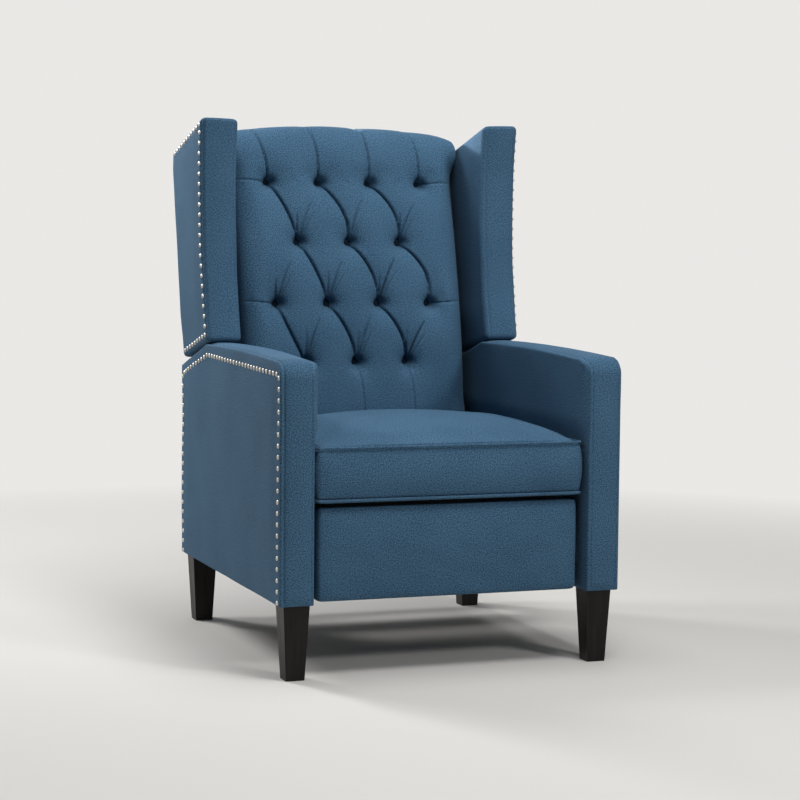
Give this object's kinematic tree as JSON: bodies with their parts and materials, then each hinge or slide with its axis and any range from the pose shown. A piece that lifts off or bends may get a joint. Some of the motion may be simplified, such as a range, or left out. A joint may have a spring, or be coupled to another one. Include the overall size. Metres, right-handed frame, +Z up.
{
  "type": "recliner",
  "caption": "Wingback push-back recliner with a button-tufted back, box arms, a welted seat cushion, a fold-out footrest panel and tapered legs.",
  "frame": {"origin": "on the floor under the middle of the chair's width and depth", "axes": "+Z up, -Y the way the sitter faces, +X the sitter's left"},
  "size_m": [0.7158, 0.8, 1.082],
  "materials": {
    "upholstery": "heathered blue linen weave",
    "leg_wood": "espresso stain, satin lacquer",
    "webbing": "woven jute webbing",
    "frame_timber": "plain sawn hardwood and plywood",
    "steel": "black painted flat steel"
  },
  "bodies": {
    "base": {"arm_bottom_rails": "frame_timber", "arm_cover_left": "upholstery", "arm_cover_right": "upholstery", "arm_posts": "frame_timber", "arm_top_rails": "frame_timber", "base_plate_left": "steel", "base_plate_right": "steel", "base_rivets": "steel", "base_side_rails": "frame_timber", "front_rail": "frame_timber", "leg_bolts": "steel", "leg_front_left": "leg_wood", "leg_front_right": "leg_wood", "leg_rear_left": "leg_wood", "leg_rear_right": "leg_wood", "rear_rail": "frame_timber"},
    "back": {"back_bracket_left": "steel", "back_bracket_right": "steel", "back_buttons": "upholstery", "back_cushion": "upholstery", "back_outer_panel": "upholstery", "back_rails": "frame_timber", "back_stiles": "frame_timber", "back_webbing": "webbing", "lever_rivets": "steel", "wing_blocks": "frame_timber", "wing_boards": "frame_timber", "wing_cover_left": "upholstery", "wing_cover_right": "upholstery"},
    "back_drive_links": {"back_drive_link_left": "steel", "back_drive_link_right": "steel"},
    "cross_links": {"cross_link_left": "steel", "cross_link_right": "steel", "cross_link_rivets": "steel"},
    "footrest": {"footrest_board": "frame_timber", "footrest_bracket_left": "steel", "footrest_bracket_right": "steel", "footrest_pad": "upholstery", "footrest_rivets": "steel"},
    "long_links": {"footrest_drive_tube": "steel", "long_link_left": "steel", "long_link_right": "steel", "long_link_rivets": "steel"},
    "front_swing_links": {"front_swing_link_left": "steel", "front_swing_link_right": "steel"},
    "guide_links": {"guide_link_left": "steel", "guide_link_right": "steel"},
    "rear_swing_links": {"rear_swing_link_left": "steel", "rear_swing_link_right": "steel"},
    "seat": {"seat_cushion": "upholstery", "seat_front_rail": "frame_timber", "seat_plate_left": "steel", "seat_plate_right": "steel", "seat_rear_rail": "frame_timber", "seat_rivets": "steel", "seat_side_rails": "frame_timber", "seat_webbing": "webbing"},
    "short_links": {"short_link_left": "steel", "short_link_right": "steel"}
  },
  "joints": [
    {"name": "rear_swing_turn", "type": "hinge", "parent": "base", "child": "rear_swing_links", "pos_m": [0, 0.1509, 0.19167], "axis": [-1, 0, 0], "range_deg": [-19, 0]},
    {"name": "seat_turn_on_rear_swing", "type": "hinge", "parent": "rear_swing_links", "child": "seat", "pos_m": [0, 0.17, 0.3], "axis": [-1, 0, 0], "range_deg": [0, 19]},
    {"name": "front_swing_turn", "type": "hinge", "parent": "base", "child": "front_swing_links", "pos_m": [0, -0.1991, 0.19167], "axis": [-1, 0, 0], "range_deg": [-19, 0]},
    {"name": "back_recline", "type": "hinge", "parent": "seat", "child": "back", "pos_m": [0, 0.262, 0.35], "axis": [-1, 0, 0], "range_deg": [0, 34]},
    {"name": "back_drive_turn", "type": "hinge", "parent": "base", "child": "back_drive_links", "pos_m": [0, 0.19987, 0.17449], "axis": [-1, 0, 0], "range_deg": [-18.86, 0]},
    {"name": "long_link_turn", "type": "hinge", "parent": "seat", "child": "long_links", "pos_m": [0, -0.022, 0.312], "axis": [-1, 0, 0], "range_deg": [0, 97.7]},
    {"name": "cross_link_turn", "type": "hinge", "parent": "long_links", "child": "cross_links", "pos_m": [0, 0.07058, 0.18028], "axis": [-1, 0, 0], "range_deg": [-99.75, 0]},
    {"name": "footrest_turn", "type": "hinge", "parent": "cross_links", "child": "footrest", "pos_m": [0, -0.328, 0.3096], "axis": [-1, 0, 0], "range_deg": [0, 88.05]},
    {"name": "short_link_turn", "type": "hinge", "parent": "seat", "child": "short_links", "pos_m": [0, 0.0163, 0.3113], "axis": [-1, 0, 0], "range_deg": [0, 92.24]},
    {"name": "guide_link_turn", "type": "hinge", "parent": "long_links", "child": "guide_links", "pos_m": [0, 0.0907, 0.15164], "axis": [-1, 0, 0], "range_deg": [-98.75, 0]}
  ],
  "couplings": [
    {"joint": "rear_swing_turn", "follows": "back_recline", "ratio": -0.55882},
    {"joint": "seat_turn_on_rear_swing", "follows": "back_recline", "ratio": 0.55882},
    {"joint": "front_swing_turn", "follows": "back_recline", "ratio": -0.55882},
    {"joint": "back_drive_turn", "follows": "back_recline", "ratio": -0.55481},
    {"joint": "long_link_turn", "follows": "back_recline", "ratio": 2.8735},
    {"joint": "cross_link_turn", "follows": "back_recline", "ratio": -2.9338},
    {"joint": "footrest_turn", "follows": "back_recline", "ratio": 2.5897},
    {"joint": "short_link_turn", "follows": "back_recline", "ratio": 2.7128},
    {"joint": "guide_link_turn", "follows": "back_recline", "ratio": -2.9045}
  ]
}
